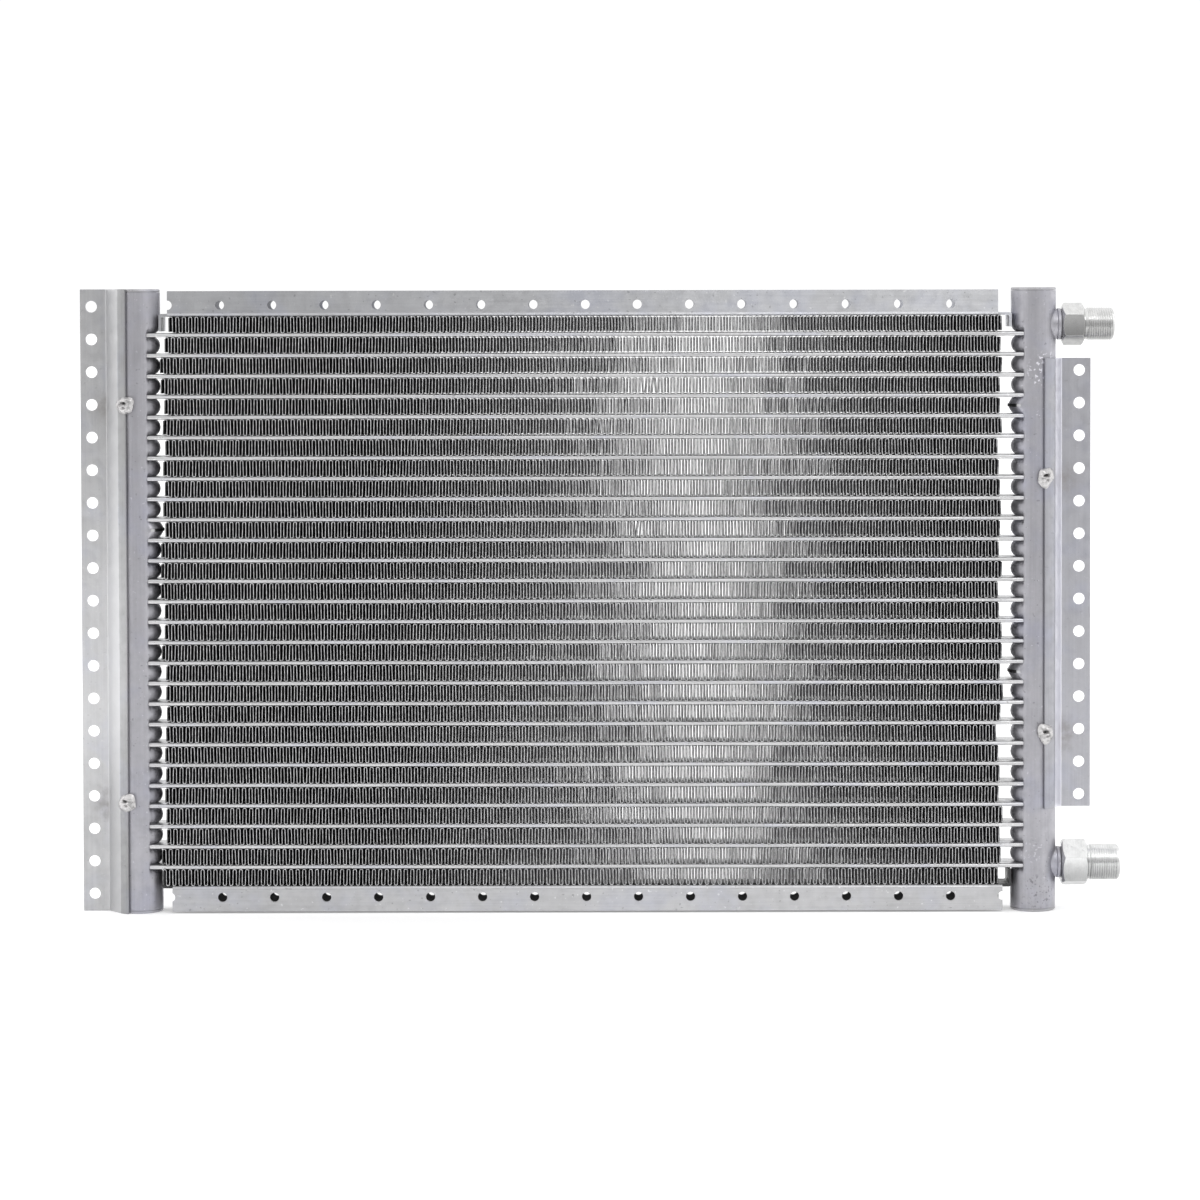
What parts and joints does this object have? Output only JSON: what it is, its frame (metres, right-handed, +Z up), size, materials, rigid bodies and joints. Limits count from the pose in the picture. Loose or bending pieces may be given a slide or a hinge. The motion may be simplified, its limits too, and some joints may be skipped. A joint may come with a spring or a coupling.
{
  "type": "hydraulic oil cooler",
  "caption": "Brazed aluminium parallel-flow oil cooler: flat tubes and louvred fins between two header pipes, channel side plates, perforated mounting flanges and two threaded ports on one side.",
  "frame": {"origin": "middle of the base: centre of the bounding box in X and Y, at the level that the headers' bottom caps stand on", "axes": "+X from the plain header to the header with the ports, +Y from the front face to the back, +Z up along the headers"},
  "size_m": [0.508, 0.027, 0.305],
  "materials": {
    "header": "matte, slightly mottled by brazing",
    "plate": "matte mill finish",
    "bracket": "satin extruded",
    "tube": "satin extruded",
    "fin": "matte foil",
    "weld": "dull, heat tinted",
    "fitting": "machined, satin bright",
    "seal": "matte"
  },
  "bodies": {
    "root": {"bottom_side_plate": "plate", "fin_pack_first_return_pass": "fin", "fin_pack_inlet_pass": "fin", "fin_pack_outlet_pass": "fin", "fin_pack_second_return_pass": "fin", "header_left": "header", "header_right": "header", "left_back_weld_1": "weld", "left_back_weld_2": "weld", "left_baffle": "plate", "left_bottom_cap": "header", "left_bracket": "bracket", "left_front_weld_1": "weld", "left_front_weld_2": "weld", "left_top_cap": "header", "lower_port_adapter": "fitting", "lower_port_boss": "header", "lower_port_seal": "seal", "right_back_weld_1": "weld", "right_back_weld_2": "weld", "right_bottom_cap": "header", "right_bracket": "bracket", "right_front_weld_1": "weld", "right_front_weld_2": "weld", "right_lower_baffle": "plate", "right_top_cap": "header", "right_upper_baffle": "plate", "top_side_plate": "plate", "tube_01": "tube", "tube_02": "tube", "tube_03": "tube", "tube_04": "tube", "tube_05": "tube", "tube_06": "tube", "tube_07": "tube", "tube_08": "tube", "tube_09": "tube", "tube_10": "tube", "tube_11": "tube", "tube_12": "tube", "tube_13": "tube", "tube_14": "tube", "tube_15": "tube", "tube_16": "tube", "tube_17": "tube", "tube_18": "tube", "tube_19": "tube", "tube_20": "tube", "tube_21": "tube", "tube_22": "tube", "tube_23": "tube", "tube_24": "tube", "tube_25": "tube", "tube_26": "tube", "tube_27": "tube", "upper_port_adapter": "fitting", "upper_port_boss": "header", "upper_port_seal": "seal"}
  },
  "joints": []
}
